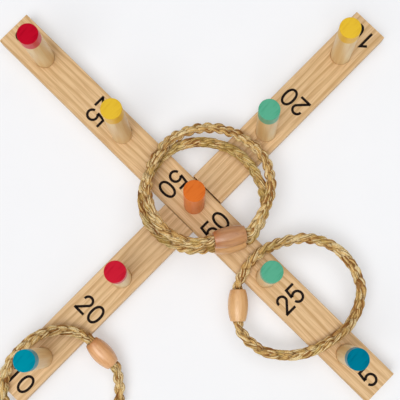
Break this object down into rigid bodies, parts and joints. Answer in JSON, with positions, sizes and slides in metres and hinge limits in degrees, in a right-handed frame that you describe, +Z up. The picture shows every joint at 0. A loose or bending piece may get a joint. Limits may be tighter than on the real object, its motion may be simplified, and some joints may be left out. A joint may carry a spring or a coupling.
{
  "type": "ring toss set",
  "caption": "Crossed wooden boards with dowel pegs, painted peg tops and printed scores, and plaited rope rings with a wooden bead each, to be thrown over the pegs.",
  "frame": {"origin": "on the ground, at the middle of the cross, on the lower board's underside", "axes": "+Z up; +X along the lower board, towards the inner green and outer yellow pegs; +Y along the upper board, towards the inner yellow and outer red pegs"},
  "size_m": [0.5854, 0.56, 0.1185],
  "materials": {
    "pine": "planed pine, straight grain, satin",
    "orange_peg": "dowel dipped in orange stain over its whole length, satin",
    "green_peg": "bare dowel with a green dipped top, satin",
    "yellow_peg": "bare dowel with a yellow dipped top, satin",
    "red_peg": "bare dowel with a red dipped top, satin",
    "blue_peg": "bare dowel with a blue dipped top, satin",
    "jute_rope": "plaited plant-fibre rope, golden olive, hairy and matt",
    "pale_bead": "turned bead, pale, waxed",
    "tan_bead": "turned bead, tan, waxed",
    "brown_bead": "turned bead, reddish brown, waxed",
    "score_ink": "screen-printed black ink, matt"
  },
  "bodies": {
    "base": {"lower_board": "pine", "peg_right_inner_green": "green_peg", "peg_right_outer_yellow": "yellow_peg", "peg_left_inner_red": "red_peg", "peg_left_outer_blue": "blue_peg"},
    "cross": {"upper_board": "pine", "peg_centre_orange": "orange_peg", "peg_back_inner_yellow": "yellow_peg", "peg_back_outer_red": "red_peg", "peg_front_inner_green": "green_peg", "peg_front_outer_blue": "blue_peg"},
    "ring_centre_lower": {"ring_centre_lower_rope": "jute_rope", "ring_centre_lower_bead": "tan_bead"},
    "ring_centre_upper": {"ring_centre_upper_rope": "jute_rope", "ring_centre_upper_bead": "brown_bead"},
    "ring_front": {"ring_front_rope": "jute_rope", "ring_front_bead": "pale_bead"},
    "ring_left": {"ring_left_rope": "jute_rope", "ring_left_bead": "brown_bead"}
  },
  "joints": [
    {"name": "cross_lift", "type": "slide", "parent": "base", "child": "cross", "axis": [0, 0, 1], "range_m": [0, 0.03]},
    {"name": "ring_centre_lower_lift", "type": "slide", "parent": "cross", "child": "ring_centre_lower", "axis": [0, 0, 1], "range_m": [0, 0.125]},
    {"name": "ring_centre_upper_lift", "type": "slide", "parent": "ring_centre_lower", "child": "ring_centre_upper", "axis": [0, 0, 1], "range_m": [0, 0.125]},
    {"name": "ring_front_lift", "type": "slide", "parent": "cross", "child": "ring_front", "axis": [0, 0, 1], "range_m": [0, 0.125]},
    {"name": "ring_left_lift", "type": "slide", "parent": "base", "child": "ring_left", "axis": [0, 0, 1], "range_m": [0, 0.125]}
  ]
}
